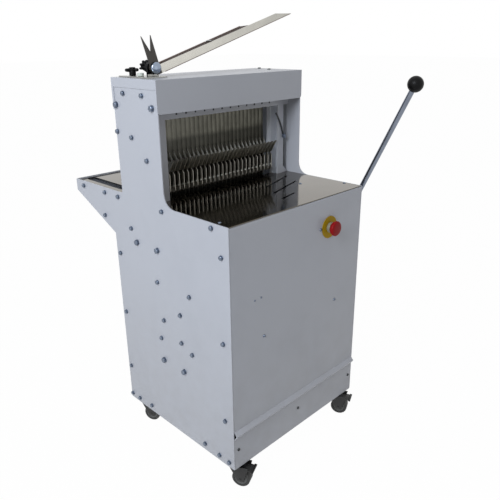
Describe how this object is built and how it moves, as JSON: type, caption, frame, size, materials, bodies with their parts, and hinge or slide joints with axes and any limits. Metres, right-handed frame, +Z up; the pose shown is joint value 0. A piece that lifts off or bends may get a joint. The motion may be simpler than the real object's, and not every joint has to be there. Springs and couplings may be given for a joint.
{
  "type": "bread slicer",
  "caption": "Floor-standing frame bread slicer on casters: a side lever slides a finger comb that pushes the loaf through two blade frames; bagging scoop on top.",
  "frame": {"origin": "on the floor, under the middle of the whole machine's bounding box", "axes": "+X to the machine's right as seen from its front panel, +Y from the front panel to the rear table, +Z up"},
  "size_m": [0.5468, 0.787, 1.1775],
  "materials": {
    "paint": "light grey-blue powder coat, satin",
    "stainless": "stainless sheet with a bright rolled finish",
    "steel": "machined steel",
    "chrome": "polished chrome",
    "cast_iron": "grey casting, as cast",
    "black_plastic": "black phenolic and nylon, satin",
    "rubber": "dark rubber",
    "red_plastic": "gloss red moulding",
    "yellow_plastic": "yellow printed plastic",
    "grey_plastic": "light grey moulding",
    "motor_paint": "dark grey-blue enamel"
  },
  "bodies": {
    "cabinet": {"side_plate_left": "paint", "side_plate_right": "paint", "front_panel": "paint", "front_skirt": "paint", "rear_panel": "paint", "base_plate": "paint", "bracket_pan": "paint", "hood": "paint", "blade_portal": "paint", "feed_table": "stainless", "rear_table": "stainless", "bagging_plate": "stainless", "guide_rail_left": "steel", "guide_rail_right": "steel", "carriage_guide_front": "steel", "carriage_guide_rear": "steel", "caster_plate_front_left": "steel", "caster_plate_front_right": "steel", "caster_plate_rear_left": "steel", "caster_plate_rear_right": "steel", "crank_bearing_left": "cast_iron", "crank_bearing_right": "cast_iron", "lever_bearing_left": "cast_iron", "lever_bearing_right": "cast_iron", "drive_belt": "rubber", "stop_disc": "yellow_plastic", "stop_collar": "grey_plastic", "motor": "motor_paint"},
    "lever": {"lever_shaft": "steel", "hand_lever": "steel", "ball_knob": "black_plastic", "swing_arm_left": "steel", "swing_arm_right": "steel"},
    "pusher": {"pusher_comb": "stainless", "feed_carriage": "steel"},
    "front_blade_frame": {"blade_frame_front": "steel", "strap_front": "cast_iron"},
    "rear_blade_frame": {"blade_frame_rear": "steel", "strap_rear": "cast_iron"},
    "crank": {"crankshaft": "steel", "crank_pulley": "cast_iron"},
    "motor_rotor": {"motor_shaft": "steel", "motor_pulley": "cast_iron"},
    "stop_plunger": {"stop_stem": "grey_plastic"},
    "stop_button": {"stop_head": "red_plastic"},
    "scoop": {"bag_scoop": "stainless"},
    "pivot_screw": {"pivot_bolt": "chrome", "pivot_knob": "black_plastic"},
    "clamp_screw": {"star_knob": "black_plastic"},
    "caster_front_left": {"caster_fork_front_left": "black_plastic"},
    "wheel_front_left": {"caster_wheel_front_left": "rubber"},
    "brake_front_left": {"brake_tab_front_left": "black_plastic"},
    "caster_front_right": {"caster_fork_front_right": "black_plastic"},
    "wheel_front_right": {"caster_wheel_front_right": "rubber"},
    "brake_front_right": {"brake_tab_front_right": "black_plastic"},
    "caster_rear_left": {"caster_fork_rear_left": "black_plastic"},
    "wheel_rear_left": {"caster_wheel_rear_left": "rubber"},
    "caster_rear_right": {"caster_fork_rear_right": "black_plastic"},
    "wheel_rear_right": {"caster_wheel_rear_right": "rubber"}
  },
  "joints": [
    {"name": "lever_swing", "type": "hinge", "parent": "cabinet", "child": "lever", "pos_m": [-0.0216, -0.02652, 0.29], "axis": [-1, 0, 0], "range_deg": [0, 17.5]},
    {"name": "pusher_slide", "type": "slide", "parent": "cabinet", "child": "pusher", "axis": [0, 1, 0], "range_m": [0, 0.13]},
    {"name": "front_frame_slide", "type": "slide", "parent": "cabinet", "child": "front_blade_frame", "axis": [0, 0, 1], "range_m": [-0.01, 0.01]},
    {"name": "rear_frame_slide", "type": "slide", "parent": "cabinet", "child": "rear_blade_frame", "axis": [0, 0, 1], "range_m": [-0.01, 0.01]},
    {"name": "crank_spin", "type": "hinge", "parent": "cabinet", "child": "crank", "pos_m": [-0.0216, 0.05648, 0.612], "axis": [1, 0, 0], "continuous": true},
    {"name": "motor_spin", "type": "hinge", "parent": "cabinet", "child": "motor_rotor", "pos_m": [-0.1796, 0.09748, 0.174], "axis": [1, 0, 0], "continuous": true},
    {"name": "stop_press", "type": "slide", "parent": "cabinet", "child": "stop_plunger", "axis": [0, 1, 0], "range_m": [0, 0.004], "stiffness_N_per_m": 300, "springref_m": -0.002},
    {"name": "stop_twist", "type": "hinge", "parent": "stop_plunger", "child": "stop_button", "pos_m": [0.0869, -0.27452, 0.6485], "axis": [0, 1, 0], "range_deg": [0, 30]},
    {"name": "scoop_tilt", "type": "hinge", "parent": "cabinet", "child": "scoop", "pos_m": [-0.2146, 0.04548, 1.0495], "axis": [0, -1, 0], "range_deg": [-16, 60]},
    {"name": "pivot_screw_turn", "type": "hinge", "parent": "cabinet", "child": "pivot_screw", "pos_m": [-0.2146, 0.04548, 1.0495], "axis": [0, 1, 0], "continuous": true},
    {"name": "clamp_screw_turn", "type": "hinge", "parent": "cabinet", "child": "clamp_screw", "pos_m": [-0.2366, 0.11148, 1.036], "axis": [0, 0, 1], "continuous": true},
    {"name": "swivel_front_left", "type": "hinge", "parent": "cabinet", "child": "caster_front_left", "pos_m": [-0.2366, -0.22252, 0.066], "axis": [0, 0, 1], "continuous": true},
    {"name": "roll_front_left", "type": "hinge", "parent": "caster_front_left", "child": "wheel_front_left", "pos_m": [-0.22899, -0.23883, 0.025], "axis": [0.9063, 0.4226, 0], "continuous": true},
    {"name": "press_front_left", "type": "hinge", "parent": "caster_front_left", "child": "brake_front_left", "pos_m": [-0.23406, -0.22796, 0.057], "axis": [0.9063, 0.4226, 0], "range_deg": [0, 10]},
    {"name": "swivel_front_right", "type": "hinge", "parent": "cabinet", "child": "caster_front_right", "pos_m": [0.1934, -0.22252, 0.066], "axis": [0, 0, 1], "continuous": true},
    {"name": "roll_front_right", "type": "hinge", "parent": "caster_front_right", "child": "wheel_front_right", "pos_m": [0.20101, -0.23883, 0.025], "axis": [0.9063, 0.4226, 0], "continuous": true},
    {"name": "press_front_right", "type": "hinge", "parent": "caster_front_right", "child": "brake_front_right", "pos_m": [0.19594, -0.22796, 0.057], "axis": [0.9063, 0.4226, 0], "range_deg": [0, 10]},
    {"name": "swivel_rear_left", "type": "hinge", "parent": "cabinet", "child": "caster_rear_left", "pos_m": [-0.2366, 0.17348, 0.066], "axis": [0, 0, 1], "continuous": true},
    {"name": "roll_rear_left", "type": "hinge", "parent": "caster_rear_left", "child": "wheel_rear_left", "pos_m": [-0.22899, 0.15717, 0.025], "axis": [0.9063, 0.4226, 0], "continuous": true},
    {"name": "swivel_rear_right", "type": "hinge", "parent": "cabinet", "child": "caster_rear_right", "pos_m": [0.1934, 0.17348, 0.066], "axis": [0, 0, 1], "continuous": true},
    {"name": "roll_rear_right", "type": "hinge", "parent": "caster_rear_right", "child": "wheel_rear_right", "pos_m": [0.20101, 0.15717, 0.025], "axis": [0.9063, 0.4226, 0], "continuous": true}
  ],
  "couplings": [
    {"joint": "pusher_slide", "follows": "lever_swing", "m_per_rad": 0.4255},
    {"joint": "rear_frame_slide", "follows": "front_frame_slide", "ratio": -1},
    {"joint": "motor_spin", "follows": "crank_spin", "ratio": 2}
  ]
}
